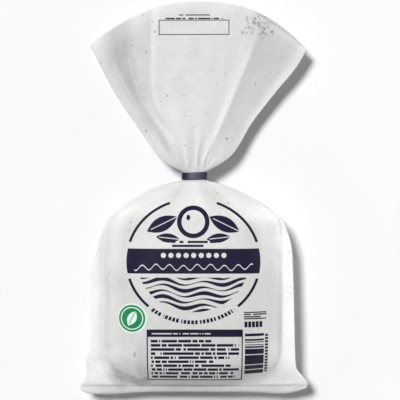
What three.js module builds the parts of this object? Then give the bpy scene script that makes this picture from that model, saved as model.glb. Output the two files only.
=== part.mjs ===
// Bag of mozzarella, lying on its back with the printed front up.
//
// A tube of milky film is sealed flat at its lower end and filled with a soft block of cheese.
// Above the cheese it is gathered to a narrow neck and bound there with plastic tape, and the
// spare film beyond the tape opens into a fan whose mouth is a slit between the two films.
//
// Millimetres. +X is to the right of the front, +Y runs from the seal to the fan, +Z is up.
// The origin is on the surface that the bag lies on, under the middle of its box.

import * as THREE from 'three';
import { LoftGeometry } from 'three/addons/geometries/LoftGeometry.js';
import { mergeVertices } from 'three/addons/utils/BufferGeometryUtils.js';

const { clamp, degToRad, lerp, smoothstep } = THREE.MathUtils;

// ---- driving dimensions ----

const OVERALL_LENGTH = 298.8;
const OVERALL_WIDTH = 173.2; // across the corners of the seal
const CHEESE_HEIGHT = 72; // top of the cheese above the table
const SEAL_LENGTH = 6; // the flat welded strip
const SEAL_THICKNESS = 1.4;
const SEAL_HEIGHT = 22; // middle of the strip above the table
const NECK_X = 0.5; // the neck is a little off the middle
const NECK_HEIGHT = 24; // middle of the neck above the table
const NECK_HALF_WIDTH = 8.7;
const NECK_HALF_HEIGHT = 4.9;
const TAPE_LENGTH = 5.5; // along the neck
const TAPE_THICKNESS = 1; // all its turns together
const TAPE_TAIL = 0.35; // the last turn ends in a step this high
const TAPE_CLEARANCE = 0.3;
const TAPE_TILT = degToRad(1.9);
const FAN_RADIUS = 129.5; // from the neck to the cut edge of the film
const FAN_LEFT_TIP = 96.7; // the two corners of the mouth, along Y from the neck
const FAN_RIGHT_TIP = 92.9;
const FAN_WALL = 0.9; // one film, thicker than the real one so that it stays a solid

// ---- places along the bag ----

const SEAL_END = -OVERALL_LENGTH / 2;
const SEAL_LINE = SEAL_END + SEAL_LENGTH; // where the weld ends and the two films part
const FAN_START = OVERALL_LENGTH / 2 - FAN_RADIUS;
const TAPE_START = FAN_START - 0.5 - TAPE_LENGTH;
const NECK_START = TAPE_START - 0.5;

// A smooth curve through [place, size] pairs that never swings past them.
function through(...pairs) {
  const last = pairs.length - 1;
  const rise = (i) => (pairs[i + 1][1] - pairs[i][1]) / (pairs[i + 1][0] - pairs[i][0]);
  const slopes = pairs.map((pair, i) => {
    if (i === 0) return rise(0);
    if (i === last) return rise(last - 1);
    const before = rise(i - 1);
    const after = rise(i);
    return before * after > 0 ? (2 * before * after) / (before + after) : 0;
  });
  return (place) => {
    const at = clamp(place, pairs[0][0], pairs[last][0]);
    const i = Math.min(pairs.findLastIndex((pair) => pair[0] <= at), last - 1);
    const step = pairs[i + 1][0] - pairs[i][0];
    const t = (at - pairs[i][0]) / step;
    const bend = t * (1 - t) * ((1 - t) * slopes[i] - t * slopes[i + 1]) * step;
    return lerp(pairs[i][1], pairs[i + 1][1], t * t * (3 - 2 * t)) + bend;
  };
}

// ---- the filled body ----
// across runs from -1 at the left edge of the film to 1 at its right edge, and side is 1 on the
// front film and -1 on the back film.

// Half widths from the neck's middle line to the side edges of the film, by place along Y.
const leftEdge = through(
  [SEAL_END, OVERALL_WIDTH / 2 + NECK_X], [SEAL_LINE, 86.9], [-138, 83.2], [-133, 81.8], [-123, 82.4],
  [-112, 79.6], [-90, 78.5], [-74, 77.6], [-58, 78.2], [-51, 77.4], [-43, 74.8], [-32, 72.2],
  [-14, 64], [-5, 52], [5, 36.8], [11.3, 20], [NECK_START, NECK_HALF_WIDTH]);
const rightEdge = through(
  [SEAL_END, 85.4], [SEAL_LINE + 2.5, OVERALL_WIDTH / 2 - NECK_X], [-137, 83.4], [-128, 77.2],
  [-110, 76.3], [-72, 75.8], [-42, 74.3], [-19, 68], [-10, 60], [4, 36.5], [11, 19],
  [NECK_START, NECK_HALF_WIDTH]);

// Width of the empty film, pressed flat, beside the cheese.
const leftStrip = through(
  [SEAL_LINE, 34], [-139, 24], [-133, 18.5], [-127, 16], [-118, 12], [-104, 9.5], [-58, 8.5],
  [-44, 6], [-18, 2], [0, 0]);
const rightStrip = through(
  [SEAL_LINE, 46], [-139, 34], [-134, 24], [-129, 15.5], [-124, 11.4], [-116, 9.8], [-104, 9.2],
  [-45, 7.4], [-18, 2], [0, 0]);

// Where the cut end of the seal lies along Y, by the share of the way to the film's side edges.
const sealCut = through(
  [-1, -144.6], [-0.98, -146.8], [-0.93, -148.6], [-0.8, SEAL_END], [-0.68, -149.2], [-0.5, -148.2],
  [-0.3, -147.9], [0.3, -147.6], [0.55, -148], [0.72, -149], [0.8, -149.1], [0.87, -148.2],
  [0.93, -146.9], [0.98, -145.3], [1, -144.2]);

// Heights above the table: the top of the cheese, the underside and the film's side edges.
const topHeight = through(
  [SEAL_LINE, SEAL_HEIGHT + SEAL_THICKNESS / 2], [-140, 31], [-135, 44], [-128, 57], [-118, 65],
  [-100, 70], [-72, CHEESE_HEIGHT], [-38, 71], [-18, 65], [-4, 55], [5, 43], [10.5, 33.5],
  [NECK_START, NECK_HEIGHT + NECK_HALF_HEIGHT]);
const underHeight = through(
  [SEAL_LINE, SEAL_HEIGHT - SEAL_THICKNESS / 2], [-139, 12], [-133, 3.5], [-127, 0], [-17, 0],
  [-7, 3], [4, 9.5], [10.5, 16], [NECK_START, NECK_HEIGHT - NECK_HALF_HEIGHT]);
const edgeHeight = through(
  [SEAL_LINE, SEAL_HEIGHT], [-128, 26], [-100, 28], [-20, 28], [NECK_START, NECK_HEIGHT]);

// 0 where the cheese fills the film like a loaf, 1 where the film is gathered to a round bundle.
const gathered = through([-28, 0], [-5, 0.6], [8, 1], [NECK_START, 1]);

// How square the loaf is across, and how softly its flanks run out into the strips beside it.
const loafPower = through(
  [SEAL_LINE, 3.5], [-130, 4.5], [-112, 7.5], [-60, 7.5], [-24, 3.2], [NECK_START, 2]);
const loafFoot = through([-45, 2], [-12, 1]);
const FLAT_SHARE = 0.6; // share of the loaf's half width that lies flat on the table

// The seal ripples up and down, and its right corner curls up. Both fade out in the body.
const SEAL_RIPPLE = 1.4;
const SEAL_RIPPLE_TURN = 5; // radians of the ripple from the middle to either edge
const CORNER_CURL = 3;
const CORNER_SHARPNESS = 6; // the higher, the nearer to the corner the curl stays
const RIPPLE_REACH = 14; // how far up the body the ripple shows

function sealLift(y, across) {
  const strength = smoothstep(SEAL_LINE + RIPPLE_REACH - y, 0, RIPPLE_REACH);
  const ripple = SEAL_RIPPLE * Math.sin(SEAL_RIPPLE_TURN * across);
  const curl = CORNER_CURL * Math.max(0, across) ** CORNER_SHARPNESS;
  return strength * (ripple + curl);
}

// Short pleats run out of the tape both ways, on the front film.
const PLEAT_SPACING = 0.48; // as a share of the half width
const SHOULDER_PLEAT_HEIGHT = 1.2;
const shoulderPleats = through([-36, 0], [-14, 0.15], [6, 0.9], [11, 0.5], [NECK_START, 0]);

function pleatWave(place) {
  return Math.cos((2 * Math.PI * place) / PLEAT_SPACING);
}

function shoulderPleat(y, across) {
  return SHOULDER_PLEAT_HEIGHT * shoulderPleats(y) * pleatWave(across) * (1 - across ** 2);
}

function bodyPoint(y, across, side) {
  const [edge, strip] = across < 0 ? [leftEdge, leftStrip] : [rightEdge, rightStrip];
  const halfWidth = edge(y);
  const x = NECK_X + across * halfWidth;
  const inSeal = Math.max(0, (SEAL_LINE - y) / SEAL_LENGTH);
  const place = y + inSeal * (sealCut(across) - SEAL_END);
  const lift = sealLift(y, across);
  if (Math.abs(across) === 1) return new THREE.Vector3(x, place, edgeHeight(y) + lift);

  const filled = Math.min(1, (Math.abs(across) * halfWidth) / (halfWidth - strip(y)));
  const rounding = Math.max(0, (filled - FLAT_SHARE) / (1 - FLAT_SHARE));
  const loaf = side > 0 ? (1 - filled ** loafPower(y)) ** loafFoot(y) : 1 - rounding ** 2;
  const swell = lerp(loaf, Math.sqrt(1 - filled ** 2), gathered(y));
  const flattened = edgeHeight(y) + (side * SEAL_THICKNESS * (1 - gathered(y))) / 2;
  const face = side > 0 ? topHeight(y) + shoulderPleat(y, across) : underHeight(y);
  return new THREE.Vector3(x, place, lerp(flattened, face, swell) + lift);
}

// The weld's cut end, where both films meet in one line.
function sealEndPoint(across) {
  const end = bodyPoint(SEAL_END, across, 1);
  return end.setZ(edgeHeight(SEAL_END) + sealLift(SEAL_END, across));
}

// ---- the fan ----
// share runs from 0 at the neck to 1 at the mouth.

// Half widths by the distance of the film's edge from the neck, along Y.
const fanLeftEdge = through(
  [0, NECK_HALF_WIDTH], [1, 11], [8.4, 24], [17.3, 31.5], [37.5, 45.4], [60.1, 60.6], [FAN_LEFT_TIP, 79.4]);
const fanRightEdge = through(
  [0, NECK_HALF_WIDTH], [1, 11], [9.7, 25.2], [14.7, 30.2], [37.5, 44.1], [60.1, 61.7], [80.3, 78.3],
  [FAN_RIGHT_TIP, 85.7]);

const fanHeight = through([0, NECK_HEIGHT], [0.3, 21], [1, 22]); // middle of the fan above the table
const fanThickness = through([0, 2 * NECK_HALF_HEIGHT], [0.06, 13], [0.2, 16], [0.5, 9], [1, 5]);
const FAN_OPENED = 0.3; // from here on the bundle at the neck has spread to a flat fan
const LENS_POWER = 0.8; // how fast the two films close together towards the fan's edges
const FAN_LEFT_DROP = 4; // at the mouth the left corner hangs and the right corner stands up
const FAN_RIGHT_RISE = 6;
const LIFT_POWER = 1.5; // the drop and the rise grow towards the corners

// The cut edge is an arc. On the right the back film runs on a little past the front film.
const CUT_POWER = 2;
const CUT_BEYOND = 0.6;
const CUT_STARTS = 0.66; // the share from which the front film falls short

function fanPlace(share, across, side) {
  const [edge, tip] = across < 0 ? [fanLeftEdge, FAN_LEFT_TIP] : [fanRightEdge, FAN_RIGHT_TIP];
  const halfWidth = edge(tip * share);
  const beyond = across > 0 && side < 0 ? CUT_BEYOND * smoothstep(share, CUT_STARTS, 1) : 0;
  const drop = (FAN_RADIUS - tip) * Math.abs(across) ** (CUT_POWER + beyond);
  return { halfWidth, y: FAN_START + share * (FAN_RADIUS - drop) };
}

// Three long folds fan out from the tape, the two films together: a soft valley and two ridges.
// Each is given as X along Y.
const valleyLine = through(
  [27.4, -15.1], [36.5, -21.2], [48, -27.3], [59.4, -34.2], [70.9, -41.1], [82.3, -47.2],
  [93.7, -51.7], [105.2, -57.1], [116.6, -58.6], [128.1, -59.4]);
const leftRidgeLine = through(
  [26.6, -8.2], [30.4, -9], [35, -9.9], [39.6, -11], [44.2, -13], [51.8, -18], [59.4, -24.4],
  [66, -28.7], [70.9, -30.8], [82.3, -32.6], [93.7, -33.4], [116.6, -33.4], [128.1, -32.7],
  [141.8, -31.9]);
const rightRidgeLine = through(
  [26.6, 7.3], [45.2, 15.4], [71.6, 26.4], [98.3, 36.4], [118.9, 45.1], [128.1, 48.9]);
const foldStrength = through([0, 0], [0.1, 0.25], [0.3, 0.6], [0.75, 1], [1, 1]);
const FOLDS_START = 0.06; // nearer the neck the lines would leave the film

// How far across the fan a fold's line crosses the ring at that share, found step by step.
function lineAcross(line, share) {
  let across = Math.sign(line(FAN_RADIUS)) / 2;
  for (let i = 0; i < 12; i++) {
    const { halfWidth, y } = fanPlace(Math.max(share, FOLDS_START), across, 1);
    across = lerp(across, (line(y) - NECK_X) / halfWidth, 0.7);
  }
  return across;
}

// How high the folds lift the films, across the ring at that share.
function foldProfile(share) {
  const [valley, left, right] = [valleyLine, leftRidgeLine, rightRidgeLine].map(
    (line) => lineAcross(line, share));
  const dip = smoothstep(share, 0.12, 0.4); // the left ridge runs out before it comes to the neck
  const heights = through(
    [-1, 3], [lerp(-1, valley, 0.18), 3.9], [lerp(-1, valley, 0.38), 3.7],
    [lerp(-1, valley, 0.65), 2.4], [valley, 0.2], [lerp(valley, left, 0.2), -0.5 * dip],
    [lerp(valley, left, 0.55), -1.1 * dip], [left - 0.05, -1.7 * dip], [left + 0.045, -0.2 * dip],
    [left + 0.12, 0], [right - 0.1, 0.2], [right + 0.015, 2], [right + 0.055, 1.3],
    [lerp(right, 1, 0.5), -2.8], [lerp(right, 1, 0.85), -5], [1, -4.4]);
  return (across) => foldStrength(share) * heights(across);
}

// Three pleats rise steeply out of the tape, the outer two splayed.
const FAN_PLEAT_HEIGHT = 0.7;
const FAN_PLEAT_SHIFT = 0.12; // their middle lies a little right of the fan's
const LEFT_PLEAT_SPREAD = 1.25;
const RIGHT_PLEAT_SPREAD = 0.88;
const fanPleats = through([0, 0], [0.05, 1], [0.14, 0.7], [0.3, 0]);
const pleatSpread = through([0, 1.3], [0.028, 0.93], [0.05, 0.66], [0.08, 0.6], [0.3, 0.63]);

function fanPleat(share, across) {
  const splay = lerp(LEFT_PLEAT_SPREAD, RIGHT_PLEAT_SPREAD, smoothstep(across, -0.2, 0.2));
  const place = across / (pleatSpread(share) * splay) - FAN_PLEAT_SHIFT;
  const beside = 1 - smoothstep(Math.abs(place), 0.6, 0.95);
  return FAN_PLEAT_HEIGHT * fanPleats(share) * beside * pleatWave(place) * (1 - across ** 2);
}

// The mouth opens into a shallow pocket between the films, which closes at POCKET_START.
const POCKET_START = 0.66;
const POCKET_OPEN = 0.92;
const pocketGap = (share) => smoothstep(share, POCKET_START, POCKET_OPEN);

function fanPoint(share, across, side, inPocket, foldHeight) {
  const { halfWidth, y } = fanPlace(share, across, side);
  const x = NECK_X + across * (halfWidth - (inPocket ? FAN_WALL : 0));

  const corner = across < 0 ? -FAN_LEFT_DROP : FAN_RIGHT_RISE;
  const lift = corner * share * Math.abs(across) ** LIFT_POWER;
  const middle = fanHeight(share) + lift + foldHeight(across);
  if (Math.abs(across) === 1) return new THREE.Vector3(x, y, middle);

  const spread = smoothstep(share, 0, FAN_OPENED);
  const section = lerp(Math.sqrt(1 - across ** 2), (1 - across ** 2) ** LENS_POWER, spread);
  const gap = (fanThickness(share) / 2 - FAN_WALL) * section;
  const wall = FAN_WALL * lerp(section, 1, spread);
  const half = inPocket ? gap * pocketGap(share) : gap + wall;
  const pleat = side > 0 ? fanPleat(share, across) : 0;
  return new THREE.Vector3(x, y, middle + side * half + pleat);
}

// ---- the film bag: one loft from the seal to the mouth and back down inside it ----

const COLUMNS = 44; // spaces across one film, closer together towards its edges
const ACROSS = Array.from({ length: COLUMNS + 1 }, (_, i) => Math.sin(Math.PI * (i / COLUMNS - 0.5)));

// One ring round the bag: the front film from left to right, then the back film.
function ring(point) {
  const front = ACROSS.map((across) => point(across, 1));
  const back = ACROSS.slice(1, -1).reverse().map((across) => point(across, -1));
  return [...front, ...back];
}

// Evenly spaced places, the last one left out.
function steps(from, to, count) {
  return Array.from({ length: count }, (_, i) => lerp(from, to, i / count));
}

const BODY_LOW = -122; // between these two places the loaf hardly changes
const BODY_HIGH = -28;
const bodyPlaces = [
  ...steps(SEAL_END, SEAL_LINE, 2),
  ...steps(SEAL_LINE, BODY_LOW, 10),
  ...steps(BODY_LOW, BODY_HIGH, 9),
  ...steps(BODY_HIGH, NECK_START, 12),
  NECK_START,
];
const fanShares = Array.from({ length: 16 }, (_, i) => (i / 15) ** 1.4);
const pocketShares = [1, 0.97, 0.9, 0.82, 0.74, POCKET_START];

// A loft whose first and last rings are pressed flat, so that they close into a line.
function closedLoft(rings) {
  const loft = new LoftGeometry(rings);
  const skin = new THREE.BufferGeometry();
  skin.setAttribute('position', loft.getAttribute('position'));
  skin.setIndex(loft.index);
  const merged = mergeVertices(skin);
  const corners = merged.index.array;
  const kept = [];
  for (let i = 0; i < corners.length; i += 3) {
    const [a, b, c] = corners.slice(i, i + 3);
    if (a !== b && b !== c && c !== a) kept.push(a, b, c);
  }
  merged.setIndex(kept);
  merged.computeVertexNormals();
  return merged;
}

function fanRing(share, inPocket) {
  const foldHeight = foldProfile(share);
  return ring((across, side) => fanPoint(share, across, side, inPocket, foldHeight));
}

function makeBag() {
  const rings = [
    ring(sealEndPoint),
    ...bodyPlaces.map((y) => ring((across, side) => bodyPoint(y, across, side))),
    ...fanShares.map((share) => fanRing(share, false)),
    ...pocketShares.map((share) => fanRing(share, true)),
  ];
  const film = new THREE.MeshStandardMaterial({ color: 0xe4e4e2, roughness: 0.35, metalness: 0 });
  const bag = new THREE.Mesh(closedLoft(rings), film);
  bag.name = 'bag';
  return bag;
}

// ---- the tape, wound several turns round the neck; its last turn ends in a small step below ----

const TAPE_SIDES = 44;
const TAPE_BEVEL = 0.3;
const TAIL_PLACE = degToRad(-115); // round the neck, from its right side

function tapeOutline() {
  const outline = new THREE.Shape();
  const firstTurns = TAPE_CLEARANCE + TAPE_THICKNESS - TAPE_TAIL;
  for (let i = 0; i <= TAPE_SIDES; i++) {
    const angle = TAIL_PLACE + (2 * Math.PI * i) / TAPE_SIDES;
    const beyond = firstTurns + (TAPE_TAIL * i) / TAPE_SIDES;
    const x = (NECK_HALF_WIDTH + beyond) * Math.cos(angle);
    const y = (NECK_HALF_HEIGHT + beyond) * Math.sin(angle);
    if (i === 0) outline.moveTo(x, y);
    else outline.lineTo(x, y);
  }
  const inner = [NECK_HALF_WIDTH + TAPE_CLEARANCE, NECK_HALF_HEIGHT + TAPE_CLEARANCE];
  outline.holes.push(new THREE.Path().absellipse(0, 0, ...inner, 0, 2 * Math.PI));
  return outline;
}

function makeTape() {
  const wound = new THREE.ExtrudeGeometry(tapeOutline(), {
    depth: TAPE_LENGTH - 2 * TAPE_BEVEL,
    curveSegments: TAPE_SIDES,
    bevelSize: TAPE_BEVEL,
    bevelThickness: TAPE_BEVEL,
    bevelOffset: -TAPE_BEVEL,
    bevelSegments: 1,
  });
  wound.translate(0, 0, TAPE_BEVEL - TAPE_LENGTH / 2);
  const plastic = new THREE.MeshStandardMaterial({ color: 0x28263d, roughness: 0.25, metalness: 0 });
  const tape = new THREE.Mesh(wound, plastic);
  tape.name = 'neck_tape';
  tape.rotation.x = -Math.PI / 2; // its axis along the neck
  return tape;
}

// ---- assembly ----

const bagOfMozzarella = new THREE.Group();
bagOfMozzarella.add(makeBag());

const tie = new THREE.Group();
tie.add(makeTape());
tie.position.set(NECK_X, TAPE_START + TAPE_LENGTH / 2, NECK_HEIGHT);
tie.rotation.z = TAPE_TILT; // its left end sits a little lower
bagOfMozzarella.add(tie);

export default bagOfMozzarella;
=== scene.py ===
import math

import bpy
import numpy as np
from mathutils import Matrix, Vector, noise


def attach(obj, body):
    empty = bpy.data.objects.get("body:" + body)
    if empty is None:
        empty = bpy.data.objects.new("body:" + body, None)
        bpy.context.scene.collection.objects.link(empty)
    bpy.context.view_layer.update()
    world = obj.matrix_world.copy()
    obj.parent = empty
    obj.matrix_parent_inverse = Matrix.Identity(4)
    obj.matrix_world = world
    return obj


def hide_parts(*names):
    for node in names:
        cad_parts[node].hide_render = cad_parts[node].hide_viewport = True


# A bag of mozzarella, lying on its back with the printed front up.
#
# +X is to the right of the front, +Y runs from the seal at the foot to the fan at the top, and +Z is
# up. Sizes are in millimetres and MM turns them to Blender's metres.

MM = 0.001

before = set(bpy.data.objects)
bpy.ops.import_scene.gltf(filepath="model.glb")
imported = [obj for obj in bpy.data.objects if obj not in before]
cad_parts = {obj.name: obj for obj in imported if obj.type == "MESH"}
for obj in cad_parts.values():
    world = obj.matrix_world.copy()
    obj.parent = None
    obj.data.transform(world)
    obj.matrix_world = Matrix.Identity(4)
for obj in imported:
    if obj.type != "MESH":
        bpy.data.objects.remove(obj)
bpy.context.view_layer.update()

# ================================================================ the film bag
# One tube of milky plastic film, welded flat across its foot and filled with a soft block of
# cheese. It is gathered to a narrow neck above the cheese, and the spare film beyond the tape
# spreads into a fan whose cut mouth stays open as a slit between the front and the back film.

FRONT_STEPS = 136  # columns of mesh across the front film, and as many across the back film
GIRTH_STEPS = 2 * FRONT_STEPS

SEAL_END = -149.4
SEAL_LINE = -143.4  # where the weld ends and the two films part
SEAL_HEIGHT = 22
SEAL_THICKNESS = 1.4
FILM_THICKNESS = 0.35  # thicker than the real film, so that the mouth keeps two clean edges
NECK_START = 13.4
NECK_X = 0.5
NECK_HEIGHT = 24
NECK_HALF_WIDTH = 8.7
NECK_HALF_HEIGHT = 4.9
FAN_START = 19.9
FAN_RADIUS = 129.5  # from the neck to the cut edge
FAN_LEFT_TIP = 96.7  # the corners of the mouth, along Y from the neck
FAN_RIGHT_TIP = 92.9
PLEAT_SPACING = 0.48  # as a share of the half width


def through(*pairs):
    """A smooth curve through (place, size) pairs that never swings past them."""
    places, sizes = (np.array(column, float) for column in zip(*pairs))
    rises = np.diff(sizes) / np.diff(places)
    before, after = rises[:-1], rises[1:]
    same_way = before * after > 0
    inner = np.where(same_way, 2 * before * after / np.where(same_way, before + after, 1), 0)
    slopes = np.concatenate([rises[:1], inner, rises[-1:]])

    def curve(place):
        at = np.clip(place, places[0], places[-1])
        i = np.clip(np.searchsorted(places, at, side="right") - 1, 0, len(rises) - 1)
        step = places[i + 1] - places[i]
        t = (at - places[i]) / step
        bend = t * (1 - t) * ((1 - t) * slopes[i] - t * slopes[i + 1]) * step
        return sizes[i] + (sizes[i + 1] - sizes[i]) * t * t * (3 - 2 * t) + bend

    return curve


def ease(value, start, end):
    """0 up to the start, 1 from the end, with a soft rise between."""
    t = np.clip((value - start) / (end - start), 0, 1)
    return t * t * (3 - 2 * t)


def mix(a, b, share):
    return a + (b - a) * share


def near(value, middle, spread):
    """1 at the middle, fading softly to 0 within about twice the spread."""
    return np.exp(-(((value - middle) / spread) ** 2))


# Half widths of the body from the neck's middle line to the film's two side edges, along Y.
left_edge = through(
    (SEAL_END, 87.1), (SEAL_LINE, 86.9), (-138, 83.2), (-133, 81.8), (-123, 82.4), (-112, 79.6),
    (-90, 78.5), (-74, 77.6), (-58, 78.2), (-51, 77.4), (-43, 74.8), (-32, 72.2), (-14, 64),
    (-5, 52), (5, 36.8), (11.3, 20), (NECK_START, NECK_HALF_WIDTH))
right_edge = through(
    (SEAL_END, 85.4), (-140.9, 86.1), (-137, 83.4), (-128, 77.2), (-110, 76.3), (-72, 75.4), (-42, 74.3),
    (-19, 68), (-10, 60), (4, 36.5), (11, 19), (NECK_START, NECK_HALF_WIDTH))

# Width of the empty film, pressed flat, beside the cheese.
left_strip = through(
    (SEAL_LINE, 34), (-139, 24), (-133, 18.5), (-127, 16), (-118, 12), (-104, 9.5), (-58, 8.5),
    (-44, 6), (-18, 2), (0, 0))
right_strip = through(
    (SEAL_LINE, 46), (-139, 34), (-134, 24), (-129, 15.5), (-124, 11.4), (-116, 9.8), (-104, 9.2),
    (-45, 7.4), (-18, 2), (0, 0))

# Where the cut end of the seal lies along Y, by the share of the way to the film's side edges.
seal_end = through(
    (-1, -144.6), (-0.98, -146.8), (-0.93, -148.6), (-0.8, SEAL_END), (-0.68, -149.2), (-0.5, -148.2),
    (-0.3, -147.9), (0.3, -147.6), (0.55, -148), (0.72, -149), (0.8, -149.1), (0.87, -148.2),
    (0.93, -146.9), (0.98, -145.3), (1, -144.2))

# Heights above the table: the top of the cheese, the underside and the film's side edges.
top_height = through(
    (SEAL_LINE, SEAL_HEIGHT + SEAL_THICKNESS / 2), (-140, 31), (-135, 44), (-128, 57), (-118, 65),
    (-100, 70), (-72, 72), (-38, 71), (-18, 65), (-4, 55), (5, 43), (10.5, 33.5),
    (NECK_START, NECK_HEIGHT + NECK_HALF_HEIGHT))
under_height = through(
    (SEAL_LINE, SEAL_HEIGHT - SEAL_THICKNESS / 2), (-139, 12), (-133, 3.5), (-127, 0), (-17, 0),
    (-7, 3), (4, 9.5), (10.5, 16), (NECK_START, NECK_HEIGHT - NECK_HALF_HEIGHT))
edge_height = through(
    (SEAL_LINE, SEAL_HEIGHT), (-128, 26), (-100, 28), (-20, 28), (NECK_START, NECK_HEIGHT))

# How the body's section changes along Y, from a flat-bottomed loaf to a round bundle.
gathered = through((-28, 0), (-5, 0.6), (8, 1), (NECK_START, 1))  # 1 is a round bundle
loaf_power = through(  # how square the loaf is across
    (SEAL_LINE, 3.5), (-130, 4.5), (-112, 7.5), (-60, 7.5), (-24, 3.2), (NECK_START, 2))
LOAF_FOOT = 2  # above 1 the loaf's flanks run out softly into the side film
shoulder_pleats = through((-36, 0), (-14, 0.15), (6, 0.9), (11, 0.5), (NECK_START, 0))
FLAT_SHARE = 0.6  # share of the loaf's half width that lies flat on the table

SEAL_RIPPLE = 1.4
SEAL_RIPPLE_TURN = 5  # radians of the ripple from the middle to either edge
CORNER_CURL = 3
CORNER_SHARPNESS = 6  # the higher, the nearer to the corner the curl stays
RIPPLE_REACH = 14  # how far up the body the ripple shows


def seal_lift(y, across):
    """The seal ripples, its right corner curls up, and the whole strip arches a little along Y."""
    strength = 1 - ease(y, SEAL_LINE, SEAL_LINE + RIPPLE_REACH)
    ripple = SEAL_RIPPLE * np.sin(SEAL_RIPPLE_TURN * across)
    curl = CORNER_CURL * np.maximum(0, across) ** CORNER_SHARPNESS
    into_seal = SEAL_LINE - y
    arch = 1.1 * ease(into_seal, 0, 4) - 0.5 * ease(into_seal, 4.5, SEAL_LINE - SEAL_END)
    return strength * (ripple + curl) + arch


def crumple(x, y, size, seed):
    """Soft lumps of about that size, between -1 and 1."""
    return np.array([noise.noise(Vector((a / size, b / size, seed))) for a, b in zip(x, y)])


# How pale the film is painted, as a grey from 0 to 255: over the block's two sides by the millimetres
# beyond the block's edge, higher up and at the foot, then over the shoulders, the neck and the seal
# by the share of the way to the side edges. Empty film is whiter than film on the wet cheese. These
# are measured tones with the light divided out. Near the block's edges they also make up for
# shading that is too strong on this smooth shape, and so hold painted light there. Over the
# shoulders and the neck they hold the pleats' painted light and shade, and over the seal the
# painted shadow of the table seen through the film.
left_grey = through((-26, 214), (-17, 214), (-7.5, 232), (1.5, 220), (4.5, 233), (12, 246))
right_grey = through(
    (-26, 214), (-20, 221), (-16.5, 231), (-10.5, 245), (-7.5, 252), (-4.5, 251), (-1.5, 228),
    (1.5, 236), (13, 253))
left_foot_grey = through((-45, 228), (-10, 242), (2, 230), (7, 247), (22, 237))
right_foot_grey = through(
    (-40, 228), (-20, 230), (-13, 245), (-7, 252), (-4, 242), (-1, 216), (2, 217), (5, 228),
    (8, 234), (16, 238), (24, 247))
shoulder_grey = through(
    (-1, 231), (-0.87, 225), (-0.55, 223), (-0.35, 209), (-0.25, 219), (-0.1, 222), (0.11, 230),
    (0.2, 217), (0.3, 208), (0.4, 210), (0.5, 223), (0.6, 230), (0.8, 232), (1, 238))
neck_grey = through((-1, 232), (-0.7, 208), (0, 215), (0.2, 212), (0.55, 222), (0.7, 231), (1, 226))
# The seal's greys paint the shadow under the seal, seen through the film.
seal_shaded_grey = through(
    (-1, 219), (-0.85, 211), (-0.8, 204), (-0.5, 195), (-0.2, 179), (-0.1, 182), (0.1, 182),
    (0.2, 186), (0.8, 201), (0.85, 203), (0.9, 197), (1, 204))

# Painted light along the block's right edge, lifting the shade of its flank, by the place along Y.
right_edge_painted_light = through((-90, 0), (-66, 12), (-54, 22), (-43, 12), (-30, 28), (-10, 30))


def block_grey(y, across, beyond):
    """How pale the film is painted over the cheese and the empty strips beside it, down to the weld,
    with painted light and shade.
    """
    left = across < 0
    higher_up = np.where(left, left_grey(beyond), right_grey(beyond))
    at_foot = np.where(left, left_foot_grey(beyond), right_foot_grey(beyond))
    grey = mix(higher_up, at_foot, ease(-y, 118, 134))

    at_left = ease(-across, -0.4, 0.4)
    over_edge = ease(-beyond, 4 * at_left, 4 + 12 * at_left)
    grey = grey + 13 * near(y, -116, 8) * over_edge  # painted light along the block's lower edge, lifting the shade where its top curves down
    # Painted light over the block's lower end, lifting its shade.
    grey = grey + mix(16, 20, at_left) * near(y, -123, 4) * ease(-beyond, 0, 7)
    grey = grey + right_edge_painted_light(y) * near(beyond, -2.5, 3) * (across > 0)

    weld_reach = mix(1.5, 3, ease(beyond, -4, 3))  # the seal's grey, with its painted shade, reaches onto the empty film beside it
    grey = mix(seal_shaded_grey(across), grey, ease(y, SEAL_LINE, SEAL_LINE + weld_reach))
    # Painted shade along the crease at the weld line, and a darker band across the side film low down.
    weld_line = SEAL_LINE + 0.5 + 2.6 * ease(across, 0.74, 1)
    low_strip = ease(np.abs(across), 0.6, 0.75) * (1 - ease(-across, 0.85, 0.96))
    return grey - 12 * near(y, weld_line, 0.8) - 8 * near(y, -136.5, 3) * low_strip


def body_grey(y, across, x, beyond):
    """How pale the film is painted on one turn round the body, from the seal to the neck, with painted
    light and shade.
    """
    # The greys added here are painted light that lifts shade: over the block's lower right corner,
    # toward the neck and over the shoulders.
    grey = block_grey(y, across, beyond) + 15 * near(x, 57, 4) * near(y, -129.5, 4.5)
    grey = mix(grey, shoulder_grey(across) + 14 * ease(y, 5, NECK_START), ease(y, -14, 1))
    inner_right = ease(across, 0.35, 0.6) * (1 - ease(across, 0.65, 0.85))
    outer_right = ease(across, 0.6, 0.75) * mix(1, 0.4, ease(across, 0.75, 0.95))
    grey = grey + 12 * near(y, -12, 10) * inner_right + 10 * near(y, -25, 9) * outer_right
    grey = grey + 9 * near(y, -9, 4) * ease(-across, 0.4, 0.5)
    grey = grey + 8 * near(y, -21, 7) * ease(-across, 0.7, 0.9)
    return mix(grey, neck_grey(across), ease(y, 11, NECK_START))


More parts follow.
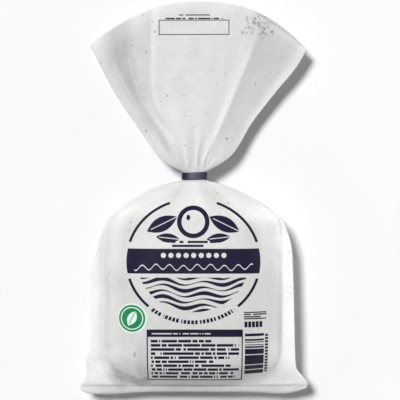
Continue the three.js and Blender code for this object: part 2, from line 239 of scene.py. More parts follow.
def body_ring(y, across, side):
    """One turn of film round the filled part, for side 1 on the front and -1 on the back."""
    left = across < 0
    half_width = np.where(left, left_edge(y), right_edge(y))
    reach = half_width - np.where(left, left_strip(y), right_strip(y))
    x = NECK_X + across * half_width
    filled = np.minimum(1, np.abs(across) * half_width / reach)
    rounding = np.maximum(0, (filled - FLAT_SHARE) / (1 - FLAT_SHARE))
    foot = mix(LOAF_FOOT, 1, ease(y, -45, -12))
    loaf = np.where(side > 0, (1 - filled ** loaf_power(y)) ** foot, 1 - rounding**2)
    bundle = np.sqrt(np.maximum(0, 1 - filled**2))
    swell = mix(loaf, bundle, gathered(y))
    flattened = edge_height(y) + side * FILM_THICKNESS * (1 - gathered(y))

    row = np.full_like(across, y)
    lumps = 0.9 * crumple(x, row, 34, 1.5) + 0.3 * crumple(x, row, 11, 7.5)
    lumps = lumps * mix(1, 0.1, ease(y, 2, 11))
    puckers = 0.9 * crumple(x * 4, row, 26, 3.5) * ease(-y, 118, 139) * ease(y, SEAL_END, -141)
    pleat = 1.1 * np.cos(2 * math.pi * across / PLEAT_SPACING) + 1.2 * crumple(across * 60, row, 9, 5.5)
    pleats = shoulder_pleats(y) * (1 - across**2) * pleat
    face = np.where(side > 0, top_height(y) + pleats + lumps + puckers, under_height(y))
    strip_waves = 0.8 * crumple(x, row, 16, 2.5) * (np.abs(across) > 0.7) * (side != 0)
    z = mix(flattened + strip_waves * ease(y, SEAL_LINE, -130), face, swell) + seal_lift(y, across)
    z = np.where(side == 0, edge_height(y) + seal_lift(y, across), z)

    grey = body_grey(y, across, x, np.abs(across) * half_width - reach)
    in_seal = np.maximum(0, (SEAL_LINE - y) / (SEAL_LINE - SEAL_END))
    row = row + in_seal * (seal_end(across) - SEAL_END)
    return x, row, z, grey


# Half widths of the fan by the distance of its edge from the neck, along Y.
fan_left_edge = through(
    (0, NECK_HALF_WIDTH), (1, 11), (8.4, 24), (17.3, 31.5), (37.5, 45.4), (60.1, 60.6),
    (FAN_LEFT_TIP, 79.4))
fan_right_edge = through(
    (0, NECK_HALF_WIDTH), (1, 11), (9.7, 25.2), (14.7, 30.2), (37.5, 44.1), (60.1, 61.7),
    (80.3, 78.3), (FAN_RIGHT_TIP, 85.7))
fan_height = through((0, NECK_HEIGHT), (0.3, 21), (1, 22))
fan_thickness = through((0, 2 * NECK_HALF_HEIGHT), (0.06, 13), (0.2, 16), (0.5, 9), (1, 5))
fan_pleats = through((0, 0.2), (0.05, 1), (0.14, 0.7), (0.3, 0))
pleat_spread = through((0, 1.3), (0.028, 0.93), (0.05, 0.66), (0.08, 0.6), (0.3, 0.63))
FAN_LEFT_DROP = 4  # at the mouth the left corner hangs and the right corner stands up
FAN_RIGHT_RISE = 6

# The three long folds of the fan, each as X along Y: a soft valley and two ridges.
valley_line = through(
    (27.4, -15.1), (36.5, -21.2), (48, -27.3), (59.4, -34.2), (70.9, -41.1), (82.3, -47.2),
    (93.7, -51.7), (105.2, -57.1), (116.6, -58.6), (128.1, -59.4))
left_ridge_line = through(
    (26.6, -8.2), (30.4, -9), (35, -9.9), (39.6, -11), (44.2, -13), (51.8, -18), (59.4, -24.4),
    (66, -28.7), (70.9, -30.8), (82.3, -32.6), (93.7, -33.4), (116.6, -33.4), (128.1, -32.7),
    (141.8, -31.9))
right_ridge_line = through(
    (26.6, 7.3), (45.2, 15.4), (71.6, 26.4), (98.3, 36.4), (118.9, 45.1), (128.1, 48.9))
fold_strength = through((0, 0), (0.1, 0.25), (0.3, 0.6), (0.75, 1), (1, 1))
FOLDS_START = 0.06  # nearer the neck the lines would leave the film


def fan_place(share, across):
    """The film's place in the fan, seen from above, and the fan's half width there."""
    left = across < 0
    tip = np.where(left, FAN_LEFT_TIP, FAN_RIGHT_TIP)
    half_width = np.where(left, fan_left_edge(tip * share), fan_right_edge(tip * share))
    return NECK_X + across * half_width, tip, half_width


def line_across(line, share):
    """How far across the fan a fold's line crosses that ring, found step by step."""
    share = max(share, FOLDS_START)
    across = np.sign(line(FAN_RADIUS)) / 2
    for _ in range(12):
        _, tip, half_width = fan_place(share, across)
        y = FAN_START + share * (FAN_RADIUS - (FAN_RADIUS - tip) * across**2)
        across = mix(across, (line(y) - NECK_X) / half_width, 0.7)
    return float(across)


def folds(share, across):
    """How high the folds lift both films of the fan on one ring, and the grey painted on it, which
    holds the folds' painted light and shade.
    """
    valley, ridge, right = (
        line_across(line, share) for line in (valley_line, left_ridge_line, right_ridge_line))
    soft = mix(1.6, 1, ease(share, 0.3, 0.55))  # the left ridge is softer nearer the neck
    dip = ease(share, 0.12, 0.4)
    heights = through(
        (-1, 3), (mix(-1, valley, 0.18), 3.9), (mix(-1, valley, 0.38), 3.7),
        (mix(-1, valley, 0.65), 2.4), (valley, 0.2), (mix(valley, ridge, 0.2), -0.5 * dip),
        (mix(valley, ridge, 0.55), -1.1 * dip), (ridge - 0.05 * soft, -1.7 * dip),
        (ridge - 0.015, -1.5 * dip), (ridge + 0.045 * soft, -0.2 * dip),
        (ridge + 0.12 * soft, 0), (mix(ridge, right, 0.5), 0.2),
        (right - 0.1, 0.2), (right + 0.015, 2), (right + 0.055, 1.3), (mix(right, 1, 0.5), -2.8),
        (mix(right, 1, 0.85), -5), (1, -4.4))
    greys = through(
        (-1, 230), (mix(-1, valley, 0.14), 216), (mix(-1, valley, 0.34), 207),
        (mix(-1, valley, 0.85), 193), (valley, 186), (mix(valley, ridge, 0.17), 184),
        (mix(valley, ridge, 0.62), 206), (ridge - 0.015, 201), (ridge + 0.04, 211),
        (ridge + 0.1, 208), (mix(ridge, right, 0.72), 216), (right - 0.1, 213),
        (right + 0.045, 205), (right + 0.12, 210), (mix(right, 1, 0.7), 209), (1, 221))
    # Painted light that lifts the shade: toward the neck over the valley and on the right, along the
    # mouth's rim, and across the upper part left of the middle.
    painted_light_valley = 10 * (1 - ease(share, 0.25, 0.7)) * ease(-across, 0.15, 0.4)
    painted_light_right = 8 * (1 - ease(share, 0.4, 0.75)) * ease(across, 0.35, 0.6)
    painted_light_rim = 10 * ease(share, 0.93, 1) + 10 * ease(share, 0.8, 1) * ease(-across, 0.4, 0.6)
    painted_light_top = 8 * ease(share, 0.4, 0.8) * near(across, -0.3, 0.35)
    grey = greys(across) + painted_light_valley + painted_light_right + painted_light_rim + painted_light_top
    grey = mix(neck_grey(across), grey, ease(share, 0.04, 0.22))
    return fold_strength(share) * heights(across), grey


POCKET_START = 0.3  # the two films part from here to the mouth
# The inside of the back film, seen in the mouth, is painted in shade.
INSIDE_SHADE_GREY = 200


def fan_ring(share, across, side, inside):
    """One turn of film round the fan, or round the slit inside its mouth."""
    x, tip, half_width = fan_place(share, across)
    x = x - inside * FILM_THICKNESS * across
    cut_back = (side >= 0) * ease(across, 0.45, 0.66)  # the front film is cut lower at the right
    beyond = (across > 0) * (1 - cut_back) * 0.6 * ease(share, 0.66, 1)
    y = FAN_START + share * (FAN_RADIUS - (FAN_RADIUS - tip) * np.abs(across) ** (2 + beyond))

    corner = np.where(across < 0, -FAN_LEFT_DROP, FAN_RIGHT_RISE)
    lift, grey = folds(share, across)
    along = np.full_like(across, share * 60)
    crinkle = 0.5 * crumple(across * 40, along, 9, 9.5) + 0.2 * crumple(x, y, 8, 4.5)
    middle = fan_height(share) + corner * share * np.abs(across) ** 1.5 + lift
    middle = middle + crinkle * ease(share, 0.04, 0.3)

    spread = ease(share, 0, 0.3)  # 1 where the bundle has opened to a flat fan
    section = mix(np.sqrt(1 - across**2), (1 - across**2) ** 0.8, spread)
    gap = (fan_thickness(share) / 2 - FILM_THICKNESS) * section
    wall = FILM_THICKNESS * mix(section, 1, spread)
    half = gap * ease(share, POCKET_START, 0.9) if inside else gap + wall

    splay = pleat_spread(share) * mix(1.25, 0.88, ease(across, -0.2, 0.2))
    pleat_place = across / splay - 0.12 - 0.06 * ease(share, 0.08, 0.2)
    pleat = np.cos(2 * math.pi * pleat_place / PLEAT_SPACING)
    pleat = pleat * ease(-np.abs(pleat_place), -0.95, -0.6)
    pleating = (side > 0) * fan_pleats(share) * (1 - across**2)
    # Painted light on the pleats' crests and painted shade between them.
    grey = grey + 7 * pleat * pleating
    ruffle = pleating * (0.65 * pleat + 0.4 * crumple(across * 60, along, 11, 6.5))
    z = np.where(side == 0, middle, middle + side * half + ruffle)
    return x, y, z, np.full_like(across, INSIDE_SHADE_GREY) if inside else grey


# The places of the rings along the bag, from the weld over the body and the fan into the mouth.
BLOCK_LOW = -118  # from here to the next place the body changes slowly and the rings lie apart
BLOCK_HIGH = -34
FAN_STEPS = 155


def steps(start, end, count):
    return list(np.linspace(start, end, count, endpoint=False))


BODY_ROWS = [SEAL_END] + steps(SEAL_END, SEAL_LINE, 7) + steps(SEAL_LINE, BLOCK_LOW, 34)
BODY_ROWS += steps(BLOCK_LOW, BLOCK_HIGH, 64) + steps(BLOCK_HIGH, NECK_START, 66) + [NECK_START]
FAN_ROWS = [(i / FAN_STEPS) ** 1.12 for i in range(FAN_STEPS + 1)]
POCKET_ROWS = [1, 0.995, 0.985, 0.97, 0.95, 0.92, 0.88, 0.83, 0.77, 0.7, 0.62, 0.54, 0.46, 0.38]
POCKET_ROWS += [POCKET_START]
LENGTH_STEPS = len(BODY_ROWS) + len(FAN_ROWS) + len(POCKET_ROWS) - 1

# The film starts as a flat sheet, whose two long sides meet at the bag's left edge.
bpy.ops.object.select_all(action="DESELECT")
bpy.ops.mesh.primitive_grid_add(x_subdivisions=GIRTH_STEPS, y_subdivisions=LENGTH_STEPS, size=1)
bag = bpy.context.object
bag.name = "film_bag"
bag.data.name = "film_bag"

flat = np.zeros(len(bag.data.vertices) * 3)
bag.data.vertices.foreach_get("co", flat)
flat = flat.reshape(-1, 3)
column = np.rint((flat[:, 0] + 0.5) * GIRTH_STEPS).astype(int)
row = np.rint((flat[:, 1] + 0.5) * LENGTH_STEPS).astype(int)

turn = np.arange(GIRTH_STEPS + 1) / FRONT_STEPS  # 0 to 1 on the front film, 1 to 2 on the back
straight = np.where(turn <= 1, 2 * turn - 1, 3 - 2 * turn)
ACROSS = mix(straight, np.sin(math.pi / 2 * straight), 0.55)  # closer together at the side edges
SIDE = np.sign(np.round(1 - turn, 6)) * (np.abs(straight) < 1)

rings = [body_ring(y, ACROSS, SIDE) for y in BODY_ROWS]
rings += [fan_ring(share, ACROSS, SIDE, False) for share in FAN_ROWS]
rings += [fan_ring(share, ACROSS, SIDE, True) for share in POCKET_ROWS]
rings = np.array(rings)  # ring, then x, y, z and grey, then column
rings[0, 2] = edge_height(SEAL_END) + seal_lift(SEAL_END, ACROSS)  # both films meet in one line

# How sharply the film bends across: over 0 on a ridge and under 0 in a valley, per millimetre.
height = rings[:, 2]
width = np.abs(np.gradient(rings[:, 0], axis=1)) + 0.2
bend = np.zeros_like(height)
bend[:, 1:-1] = (2 * height[:, 1:-1] - height[:, :-2] - height[:, 2:]) / width[:, 1:-1] ** 2
bend = np.clip(bend * (SIDE > 0), -1, 1)

placed = rings[row, :3, column] * MM
bag.data.vertices.foreach_set("co", placed.ravel())
is_inside = row >= LENGTH_STEPS - len(POCKET_ROWS) + 1
PAPER = 0.8  # share of the light that the table gives back
PAPER_SHOWS = 0.93  # how bright the lit table then looks, where 1 is pure white
# The greys become the film's colour, painted light and shade included.
paleness_and_painted_light = ((rings[row, 3, column] / 255 + 0.055) / 1.055) ** 2.4
for name, values in (
    ("paleness_and_painted_light", paleness_and_painted_light * PAPER / PAPER_SHOWS),
    ("front", ((SIDE[column] > 0) * ~is_inside).astype(float)),
    ("bend", bend[row, column]),
):
    bag.data.attributes.new(name, "FLOAT", "POINT").data.foreach_set("value", values)

# The unrolled film is also its map: the front gets the larger part of its width.
corner_vertex = np.zeros(len(bag.data.loops), int)
bag.data.loops.foreach_get("vertex_index", corner_vertex)
map_across = np.interp(np.arange(GIRTH_STEPS + 1), [0, FRONT_STEPS, GIRTH_STEPS], [0.01, 0.62, 0.99])
map_along = np.linspace(0.01, 0.99, LENGTH_STEPS + 1)
places = np.stack([map_across[column[corner_vertex]], map_along[row[corner_vertex]]], 1)
bag.data.uv_layers[0].name = "OFBake"
bag.data.uv_layers[0].uv.foreach_set("vector", places.ravel())

bpy.ops.object.mode_set(mode="EDIT")
bpy.ops.mesh.select_all(action="SELECT")
bpy.ops.mesh.remove_doubles(threshold=0.000002)
bpy.ops.mesh.normals_make_consistent(inside=False)
bpy.ops.object.mode_set(mode="OBJECT")
bpy.ops.object.shade_smooth()


class Value:
    """A number that changes over a surface. Maths written on it becomes the shader's."""

    def __init__(self, finish, socket):
        self.finish = finish
        self.socket = socket

    def maths(self, operation, *others, clamp=False):
        settings = {"operation": operation, "use_clamp": clamp}
        return self.finish.add("ShaderNodeMath", settings, {i: v for i, v in enumerate(others)})

    def __add__(self, other):
        return self.maths("ADD", self, other)

    def __sub__(self, other):
        return self.maths("SUBTRACT", self, other)

    def __rsub__(self, other):
        return self.maths("SUBTRACT", other, self)

    def __mul__(self, other):
        return self.maths("MULTIPLY", self, other)

    def __truediv__(self, other):
        return self.maths("DIVIDE", self, other)

    def __pow__(self, other):
        return self.maths("POWER", self, other)

    def __abs__(self):
        return self.maths("ABSOLUTE", self)

    __radd__ = __add__
    __rmul__ = __mul__

    def least(self, other):
        return self.maths("MINIMUM", self, other)

    def most(self, other):
        return self.maths("MAXIMUM", self, other)

    def sine(self):
        return self.maths("SINE", self)

    def angle_from(self, other):
        return self.maths("ARCTAN2", self, other)

    def whole(self):
        return self.maths("FLOOR", self)

    def rest(self):
        return self.maths("FRACT", self)

    def over(self, edge):
        """1 where the number is over the edge, 0 elsewhere."""
        return self.maths("GREATER_THAN", self, edge)

    def within(self, low, high):
        """0 up to low, 1 from high, evenly between."""
        return self.maths("MULTIPLY", self - low, 1 / (high - low), clamp=True)


class Finish:
    """The nodes of one material, or of the world."""

    def __init__(self, owner):
        self.owner = owner
        owner.use_nodes = True
        self.tree = owner.node_tree
        self.tree.nodes.clear()

    def add(self, kind, settings, inputs, output=0):
        """A node of that kind: its settings first, then its sockets' values or links."""
        node = self.tree.nodes.new(kind)
        for name, value in settings.items():
            setattr(node, name, value)
        for name, value in inputs.items():
            if isinstance(value, Value):
                self.tree.links.new(value.socket, node.inputs[name])
            else:
                node.inputs[name].default_value = value
        return Value(self, node.outputs[output]) if node.outputs else None

    def parts(self, vector):
        """The three numbers of a vector."""
        return [self.add("ShaderNodeSeparateXYZ", {}, {0: vector}, output=i) for i in range(3)]

    def grain(self, place, size, detail=2, roughness=0.5, distortion=0):
        """Noise whose lumps are about that many millimetres wide."""
        inputs = {
            "Vector": place, "Scale": 1000 / size, "Detail": detail, "Roughness": roughness,
            "Distortion": distortion}
        return self.add("ShaderNodeTexNoise", {}, inputs)

    def chance(self, first, second=0):
        """A number from 0 to 1 that differs from one cell to the next."""
        cell = self.add("ShaderNodeCombineXYZ", {}, {0: first, 1: second})
        return self.add("ShaderNodeTexWhiteNoise", {"noise_dimensions": "2D"}, {"Vector": cell})

    def blend(self, share, first, second, how="MIX"):
        """The second colour over the first by a share."""
        settings = {"data_type": "RGBA", "blend_type": how}
        return self.add("ShaderNodeMix", settings, {0: share, 6: first, 7: second}, output=2)

    def cover(self, piece, shader):
        """Ends the material with that shader and puts it on the piece."""
        self.add("ShaderNodeOutputMaterial", {}, {"Surface": shader})
        piece.data.materials.clear()
        piece.data.materials.append(self.owner)


def colour(red, green, blue):
    """A colour as seen on screen, 0 to 255, turned to the shader's linear one."""
    shares = [channel / 255 for channel in (red, green, blue)]
    return [s / 12.92 if s <= 0.04045 else ((s + 0.055) / 1.055) ** 2.4 for s in shares] + [1]


film = Finish(bpy.data.materials.new("milky_film"))
place = film.add("ShaderNodeTexCoord", {}, {}, output="Object")
x, y, z = [part * 1000 for part in film.parts(place)]


def measured(name):
    return film.add("ShaderNodeAttribute", {"attribute_name": name}, {}, output="Fac")


# ---- the print, in fields of colour and simple shapes on the front film ----
# Each shape below is a distance in millimetres, under 0 inside it.

INK_EDGE = 0.15  # the print's edges are this soft


def ink(distance):
    return distance.within(INK_EDGE, -INK_EDGE)


def block(left, bottom, right, top):
    beside = abs(x - (left + right) / 2) - (right - left) / 2
    above = abs(y - (bottom + top) / 2) - (top - bottom) / 2
    return beside.most(above)


def outline(distance, stroke):
    return abs(distance) - stroke / 2


def disc(middle_x, middle_y, radius_x, radius_y):
    right, up = (x - middle_x) / radius_x, (y - middle_y) / radius_y
    return ((right * right + up * up) ** 0.5 - 1) * min(radius_x, radius_y)


def leaf(middle_x, middle_y, half_length, half_width, turned):
    """A pointed leaf with its middle rib left bare."""
    c, s = math.cos(math.radians(turned)), math.sin(math.radians(turned))
    along = (x - middle_x) * c + (y - middle_y) * s
    aside = abs((y - middle_y) * c - (x - middle_x) * s)
    blade = aside - half_width * (1 - along * along / half_length**2)
    rib = (0.3 - aside).least(along + half_length * 0.75)
    return blade.most(rib)


def text_rows(left, bottom, right, top, pitch, weight, letter, seed):
    """Rows of letter-sized marks, ragged at the right, in the place of small text."""
    line = (top - y) / pitch
    line_number = line.whole() + seed
    bar = abs(line.rest() - 0.5) * pitch - weight / 2
    end = right - film.chance(line_number, 3) ** 3 * (right - left) * 0.6
    gaps = (0.14 - film.chance((x / letter).whole(), line_number)).over(0) - 0.5
    return bar.most(gaps).most(block(left, bottom, right, top)).most(x - end)


EMBLEM_X, EMBLEM_Y = -0.3, -46.4
EMBLEM_WIDE, EMBLEM_HIGH = 49.6, 45.5
right = (x - EMBLEM_X) / EMBLEM_WIDE
up = (y - EMBLEM_Y) / EMBLEM_HIGH
reach = (right * right + up * up) ** 0.5  # 1 on the emblem's rim
bearing = up.angle_from(right)  # round the emblem, from its right side
rim = (reach - 1) * EMBLEM_HIGH


def arc(start, end, stroke):
    """A stroke along the emblem's rim between two bearings."""
    middle, half = (start + end) / 2, (end - start) / 2
    return outline(rim, stroke).most((abs(bearing - middle) - half) * EMBLEM_HIGH)


band = (abs(x + 0.2) - 49.9 + (y + 46.9) * (y + 46.9) * 0.012).most(abs(y + 46.9) - 9.2)
pearls_across = (x + 25.2) / 5.6
pearl_right = (pearls_across.rest() - 0.5) * 5.6
pearl_up = y + 42.6
pearls = ((pearl_right * pearl_right + pearl_up * pearl_up) ** 0.5 - 1.9).most(abs(x) - 25.2)
stream = outline(y + 51.4 - (x * 0.62).sine() * 1.9 - (x * 0.19).sine() * 0.5, 0.85).most(abs(x) - 44)

ball = outline(disc(-0.3, -17.8, 10.4, 10.4), 3.4).least(disc(-4, -14.6, 1.4, 2.1))
leaves = leaf(-23.5, -19.5, 12.5, 5.4, 26).least(leaf(22.9, -19.5, 12.5, 5.4, -26))
leaves = leaves.least(leaf(-19, -29.8, 9, 3.4, -6)).least(leaf(18.4, -29.8, 9, 3.4, 6))
small_rows = text_rows(-16, -37, 17, -31.2, 2.9, 1.7, 1.5, 41)

wave_rows = (y - (x * 0.21).sine() * 1.7 + (x * 0.083 + 1).sine() * 1.2) / 4.3
stroke = 0.92 + (x * 0.13 + wave_rows.whole() * 2.2).sine() * 0.6
waves = (abs(wave_rows.rest() - 0.5) * 4.3 - stroke).most((reach - 0.84) * EMBLEM_HIGH).most(y + 59)
letters = (bearing * 17.5).rest().over(0.7).most((bearing * 3.6 + 0.3).rest().over(0.88)) - 0.5
round_text = (outline(rim - 0.2, 2.9)).most((abs(bearing + 1.571) - 0.66) * EMBLEM_HIGH).most(letters)

emblem = arc(1.93, 2.84, 1.9).least(arc(0.3, 1.21, 1.9))
emblem = emblem.least(arc(-2.84, -2.3, 1.9)).least(arc(-0.84, -0.3, 1.9))
emblem = emblem.least(ball).least(leaves).least(small_rows).least(waves).least(round_text)

label = outline(block(-34.4, -137.2, 36, -97.9), 0.9).least(block(-34.4, -103, 36, -97.9))
label = label.least(text_rows(-31.8, -136, 33.8, -104.6, 3.14, 1.95, 0.95, 11))
label_heading = text_rows(-31, -102, 20, -99.2, 2.8, 0.9, 0.9, 71)

facts = block(37.2, -85.3, 54, -84.4).least(block(37.2, -90, 54, -89.1))
facts = facts.least(text_rows(37.2, -89, 56, -85.4, 1.8, 1, 0.9, 23))
weight = block(37.6, -96, 51.4, -91.6).most((((x - 37.6) / 2.8).rest() - 0.82) * 2.8)
bars = block(38, -132.5, 52.4, -100.4).most(0.5 - film.chance((y / 0.68).whole(), 5).over(0.36))
bar_figures = block(53.2, -131.5, 55.6, -101.5).most(((y / 2.4).rest() - 0.72) * 2.4)

date_box = outline(block(-26.4, 124.3, 26.7, 135.2), 0.6)
date_rows = text_rows(-21.5, 135.4, 22.5, 137.4, 2, 1.1, 0.8, 57)
date_rows = date_rows.least(text_rows(-12, 138.2, 12.2, 140, 1.8, 0.8, 0.8, 65))

navy = ink(emblem.least(label).least(facts).least(weight).least(bars).least(bar_figures))
navy = navy.most(ink(date_box.least(date_rows)))
navy = navy.most(ink(band) - ink(pearls.least(stream))) - ink(label_heading)

MARK_X, MARK_Y, MARK_RADIUS = -45.8, -89.4, 10
mark = disc(MARK_X, MARK_Y, MARK_RADIUS, MARK_RADIUS)
mark_bare = outline(mark + 1.9, 0.8).least(leaf(MARK_X, MARK_Y, 6.2, 3.4, 62))
green = ink(mark) - ink(mark_bare)
halo = ink(mark - 1.2)

# ---- the film itself ----

is_front = measured("front").over(0.5)
bend = measured("bend")
cloud = film.grain(place, 26, detail=3)
mottle = film.grain(place, 6, detail=4, roughness=0.65)

WARM_TINT = [1, 0.994, 0.98, 1]  # the block's faint cream shows through the film
GREEN_TINT = [0.98, 1, 0.95, 1]
MAUVE_TINT = [1, 0.975, 1, 1]
# The dark and white films also serve below as painted shade and painted highlights.
DARK_FILM_AND_SHADE = colour(90, 88, 96)
WHITE_FILM_AND_HIGHLIGHT = colour(255, 255, 255)
over_block = (12 - y).within(0, 20) * (75 - abs(x)).within(0, 14)
tone = film.blend(over_block, [1, 1, 1, 1], WARM_TINT)
tone = film.blend(1.0, tone, measured("paleness_and_painted_light"), "MULTIPLY")
hue = film.grain(place, 9, detail=4, roughness=0.65)
for tint, share in ((GREEN_TINT, hue.within(0.5, 0.75)), (MAUVE_TINT, hue.within(0.5, 0.25))):
    tinted = film.blend(1.0, tone, tint, "MULTIPLY")
    tone = film.blend(share * over_block, tone, tinted)
fine = film.grain(place, 1.9, detail=2, roughness=0.7)
shade = (cloud - 0.5) * 0.14 + (mottle - 0.5) * 0.18 + (fine - 0.5) * 0.26
tone = film.blend(shade.within(0, 1), tone, WHITE_FILM_AND_HIGHLIGHT)
tone = film.blend((shade * -1).within(0, 1), tone, DARK_FILM_AND_SHADE)
# Ridges are painted whiter, partly film whitened where it is creased and partly a painted highlight;
# valleys get a little painted shade.
tone = film.blend(bend.within(0.03, 0.6) * 0.2, tone, WHITE_FILM_AND_HIGHLIGHT)
tone = film.blend((bend * -1).within(0.02, 0.6) * 0.05, tone, DARK_FILM_AND_SHADE)

# The fan's folds catch the light along their crests, and each crest fades out to one side more
# softly than to the other.
def crest(line, soft_left, soft_right):
    return ((x - line) / soft_left + 1).least((line - x) / soft_right + 1).most(0)


left_crest = crest((94 - y).most(0) ** 2 * 0.0062 + (y - 94).most(0) * 0.03 - 33.2, 1.4, 6)
left_crest = left_crest * (y - 58).within(0, 22)
right_crest = crest((y - 26.6) * 0.413 + 9, 6, 1.3) * (117 - y).within(0, 9)
below = (106.9 - y).most(0)
outer_crest = crest(below * 0.4 + below * below * 0.0038 - 62.95, 1.8, 1.4)
below = (112.5 - y).most(0)
inner_crest = crest(below * 0.2 + below * below * 0.0027 - 51.3, 1.4, 2)
in_valley = (y - 60).within(0, 14) * (113 - y).within(0, 12)
gleam = left_crest * 0.17 + right_crest * 0.22 + outer_crest.most(inner_crest) * in_valley * 0.11
tone = film.blend(gleam * (y - 24).within(0, 18) * is_front, tone, WHITE_FILM_AND_HIGHLIGHT)

# Painted shade round the block's lower left corner, where it turns under, broken up by mottling;
# and a darker band by the label's left edge.
corner_line = (x + 44) * (x + 44) * 0.015 - 136.5 - (x + 50).within(0, 10) * 2
above_line = y - corner_line + (film.grain(place, 7, detail=3, roughness=0.6) - 0.5) * 13
to_right = (x + 55).within(0, 8)
corner_shade_and_band = (1 - above_line / (10.5 - to_right * 5)).least(above_line / (15 - to_right * 8) + 1)
corner_shade_and_band = corner_shade_and_band.within(0.05, 0.8) * (x + 66).within(0, 6) * (-30 - x).within(0, 6)
by_label = (1 - abs(x + 38) / 6.5).within(0, 0.5) * (-104 - y).within(0, 12) * (y + 139).within(0, 3)
corner_shade_and_band = corner_shade_and_band.most(by_label * 0.42) * (film.grain(place, 4.5, detail=4, roughness=0.75) * 1.6 + 0.05)
tone = film.blend(corner_shade_and_band * is_front * 0.5, tone, DARK_FILM_AND_SHADE)

# Specks of whey and dust under the film: many faint ones, a few dark ones, and a cluster of dark
# ones near the fan's upper right.
ragged_x = x + (film.grain(place, 2.4, detail=1) - 0.5) * 3
ragged_y = y + (film.grain(place, 2.9, detail=1) - 0.5) * 3
from_above = film.add("ShaderNodeCombineXYZ", {}, {0: ragged_x, 1: ragged_y})


def specks(cell, share, radius, amount):
    """Dots up to that radius, one in a share of the cells of that many millimetres."""
    in_plane = {"voronoi_dimensions": "2D"}
    cells = {"Vector": from_above, "Scale": 1 / cell}
    distance = film.add("ShaderNodeTexVoronoi", in_plane, cells, output="Distance") * cell
    pick = film.parts(film.add("ShaderNodeTexVoronoi", in_plane, cells, output="Color"))
    dot = ((pick[1] * 0.7 + 0.3) * radius - distance).within(-0.2, 0.25)
    return dot * (share - pick[0]).over(0) * (pick[2] * 0.7 + 0.3) * amount


cluster = (disc(49.5, 131.5, 12, 10.5) / -10.5).within(-0.1, 0.8)
in_fan = (y - 20).within(0, 30)
busy = film.grain(place, 40, detail=1).within(0.4, 0.62)
smudges = film.grain(place, 3.2, detail=4, roughness=0.75)
grit = film.grain(place, 2.1, detail=3, roughness=0.8)
tone = film.blend(specks(2.3, busy * 0.4 + 0.1, 0.5, 0.18), tone, DARK_FILM_AND_SHADE)
tone = film.blend(specks(8, busy * 0.25 + in_fan * 0.08 + 0.02, 0.9, 0.5), tone, DARK_FILM_AND_SHADE)
tone = film.blend(specks(2.1, cluster * 0.8, 1.2, 0.65), tone, DARK_FILM_AND_SHADE)
tone = film.blend(smudges.within(0.5, 0.64) * cluster * 0.6, tone, DARK_FILM_AND_SHADE)
spots = disc(-43.9, -116.6, 0.8, 1.9)  # larger ones, placed one by one
for spot_x, spot_y, half_width, half_height in (
    (37.1, 125.8, 0.9, 1.5), (59.4, 126.2, 1.1, 1.6), (46.8, 87, 0.7, 0.9), (-20.2, 77.6, 0.9, 0.9),
    (-36.3, 110.8, 0.7, 1.4), (25, 45.1, 1, 1), (-36, 50.9, 0.8, 0.9),
):
    spots = spots.least(disc(spot_x, spot_y, half_width, half_height))
tone = film.blend(spots.within(0.3, -0.5) * is_front * 0.6, tone, DARK_FILM_AND_SHADE)
tone = film.blend(smudges.within(0.6, 0.72) * busy * 0.16, tone, DARK_FILM_AND_SHADE)
tone = film.blend(grit.within(0.63, 0.72) * (busy * 0.2 + in_fan * 0.1 + 0.12), tone, DARK_FILM_AND_SHADE)

tone = film.blend(halo * is_front, tone, colour(207, 230, 214))
tone = film.blend(green * is_front, tone, colour(24, 122, 76))
tone = film.blend(navy * is_front, tone, colour(8, 5, 40))

wrinkles = film.grain(place, 7, detail=5, roughness=0.55, distortion=0.6)
bump = film.add("ShaderNodeBump", {}, {"Strength": 0.3, "Distance": 0.0005, "Height": wrinkles})
gloss = 0.5 + navy * is_front * 0.2 + (mottle - 0.5) * 0.2
shader = film.add("ShaderNodeBsdfPrincipled", {}, {
    "Base Color": tone, "Roughness": gloss, "Normal": bump, "Specular IOR Level": 0.25})
film.cover(bag, shader)

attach(bag, "root")
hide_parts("bag")

# ================================================================ the tape round the neck
# A strip of glossy navy plastic tape, wound tightly round the gathered neck in two and a half
# turns, one over the other. Both its ends lie under the neck.

TAPE_STEPS = 240  # along the strip
TAPE_ROWS = 16
TAPE_TURNS = 2.6
TAPE_END = math.radians(-115)
TAPE_WIDTH = 5.3
TAPE_MIDDLE = 16.65
TAPE_THICKNESS = 0.2
TAPE_CLEARANCE = 0.45  # from the neck's film to the first turn
TURN_RISE = 0.26
TAPE_TILT = math.radians(1.9)

bpy.ops.object.select_all(action="DESELECT")
bpy.ops.mesh.primitive_grid_add(x_subdivisions=TAPE_STEPS, y_subdivisions=TAPE_ROWS, size=1)
tape = bpy.context.object
tape.name = "neck_tape_wound"
tape.data.name = "neck_tape_wound"

strip = np.zeros(len(tape.data.vertices) * 3)
tape.data.vertices.foreach_get("co", strip)
along, aslant, _ = strip.reshape(-1, 3).T
wound = (along + 0.5) * TAPE_TURNS
turned_by = TAPE_END - 2 * math.pi * (TAPE_TURNS - wound)
stretch_lines = 0.012 * np.cos(aslant * 27 + np.sin(turned_by * 2)) + 0.008 * np.cos(aslant * 61)
rounded_edge = -0.22 * np.abs(2 * aslant) ** 9
outwards = TAPE_CLEARANCE + TURN_RISE * wound + stretch_lines + rounded_edge
tape_x = NECK_X + (NECK_HALF_WIDTH + outwards) * np.cos(turned_by)
tape_z = NECK_HEIGHT + (NECK_HALF_HEIGHT + outwards) * np.sin(turned_by)
slip = 0.12 * np.sin(wound * 5 + 1)  # the turns don't lie quite over each other
tape_y = TAPE_MIDDLE + aslant * TAPE_WIDTH + slip + (tape_x - NECK_X) * math.tan(TAPE_TILT)
tape.data.vertices.foreach_set("co", np.stack([tape_x, tape_y, tape_z], 1).ravel() * MM)

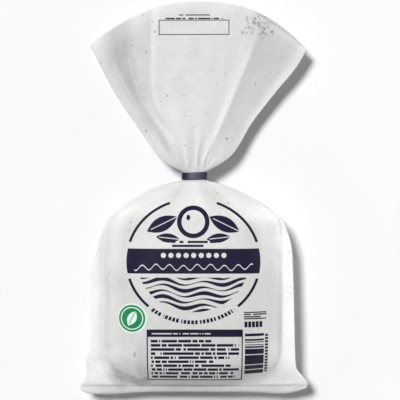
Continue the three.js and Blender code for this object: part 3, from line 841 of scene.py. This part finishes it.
wall = tape.modifiers.new("wall", "SOLIDIFY")
wall.thickness = TAPE_THICKNESS * MM
wall.offset = 0
bpy.ops.object.modifier_apply(modifier=wall.name)
bpy.ops.object.mode_set(mode="EDIT")
bpy.ops.mesh.select_all(action="SELECT")
bpy.ops.mesh.normals_make_consistent(inside=False)
bpy.ops.object.mode_set(mode="OBJECT")
bpy.ops.object.shade_smooth_by_angle(angle=math.radians(50))

plastic = Finish(bpy.data.materials.new("navy_tape"))
tape_place = plastic.add("ShaderNodeTexCoord", {}, {}, output="Object")
LENGTHWISE = [0.12, 2.5, 0.12]  # stretches the grain along the strip
drawn = plastic.add("ShaderNodeVectorMath", {"operation": "MULTIPLY"}, {0: tape_place, 1: LENGTHWISE})
stretch = plastic.grain(drawn, 1.5, detail=4, roughness=0.6)
scuffs = plastic.grain(tape_place, 2.2, detail=3)
from_middle = abs(plastic.parts(tape_place)[0] * 1000 - 1.5)
# The wide pale band along the middle of the tape's top is a painted highlight; the stretch grain adds
# faint pale streaks.
stretch_and_highlight = stretch.within(0.38, 0.72) * 0.25 + (1 - from_middle / 8).within(0, 0.7) * 0.7
navy_film = plastic.blend(stretch_and_highlight, colour(14, 10, 28), colour(84, 80, 102))
ridges = plastic.add("ShaderNodeBump", {}, {"Strength": 0.2, "Distance": 0.0001, "Height": stretch})
tape_gloss = 0.45 + (scuffs - 0.5) * 0.2
plastic.cover(tape, plastic.add("ShaderNodeBsdfPrincipled", {}, {
    "Base Color": navy_film, "Roughness": tape_gloss, "Normal": ridges,
    "Specular IOR Level": 0.25}))

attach(tape, "root")
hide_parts("neck_tape")

# ================================================================ the floor, the light and the camera

PAPER_WHITE = [PAPER, PAPER * 1.005, PAPER * 1.015, 1]
FLOOR_SHADE = [0, 0, 0, 1]

bpy.ops.object.select_all(action="DESELECT")
bpy.ops.mesh.primitive_plane_add(size=6)
floor = bpy.context.object
floor.name = "floor"
paper = Finish(bpy.data.materials.new("white_paper"))
paper_place = paper.add("ShaderNodeTexCoord", {}, {}, output="Object")
east, north, _ = paper.parts(paper_place)
from_bag = ((east - 0.035) ** 2 + (north + 0.065) ** 2) ** 0.5
painted_shade_near_bag = (0.15 - from_bag).within(0, 0.05)  # painted shade: a little greyer near the bag, against the bag's own pale glow
paper_shader = paper.add("ShaderNodeBsdfPrincipled", {}, {
    "Base Color": paper.blend(painted_shade_near_bag * 0.042, PAPER_WHITE, FLOOR_SHADE), "Roughness": 0.9})
paper.cover(floor, paper_shader)

bpy.ops.object.light_add(type="SUN", rotation=(math.radians(-17), math.radians(-17), 0))
key = bpy.context.object
key.name = "key"
key.data.energy = 3.33
key.data.angle = math.radians(14)

bpy.ops.object.light_add(type="AREA", location=(0.95, 0.2, 0.3))
fill = bpy.context.object
fill.name = "fill"
fill.rotation_euler = (Vector((0, -0.04, 0.03)) - fill.location).to_track_quat("-Z", "Y").to_euler()
fill.data.shape = "RECTANGLE"
fill.data.size = 1
fill.data.size_y = 0.45
fill.data.energy = 0.4

# The world is a light tent: dim overhead and brighter low down, most so at the upper right.
tent = Finish(bpy.data.worlds.new("tent"))
bpy.context.scene.world = tent.owner
seen = tent.add("ShaderNodeTexCoord", {}, {}, output="Generated")
east, north, sky = tent.parts(seen)
low = (1 - abs(sky)) ** 3
turned = (east * 0.8 + north * 0.6) * 0.5 + 0.5
to_camera = tent.add("ShaderNodeLightPath", {}, {}, output="Is Camera Ray")
strength = (0.09 + low * (0.2 + turned * 2.2)) * (1 - to_camera) + to_camera * PAPER_SHOWS
back = tent.add("ShaderNodeBackground", {}, {"Color": [0.985, 0.99, 1, 1], "Strength": strength})
tent.add("ShaderNodeOutputWorld", {}, {"Surface": back})

bpy.ops.object.camera_add(location=(0.0047, -0.0016, 1.715), rotation=(0, 0, 0))
camera = bpy.context.object
camera.name = "camera"
camera.data.sensor_width = 36
camera.data.lens = 200
bpy.context.scene.camera = camera
bpy.context.scene.view_settings.view_transform = "Standard"
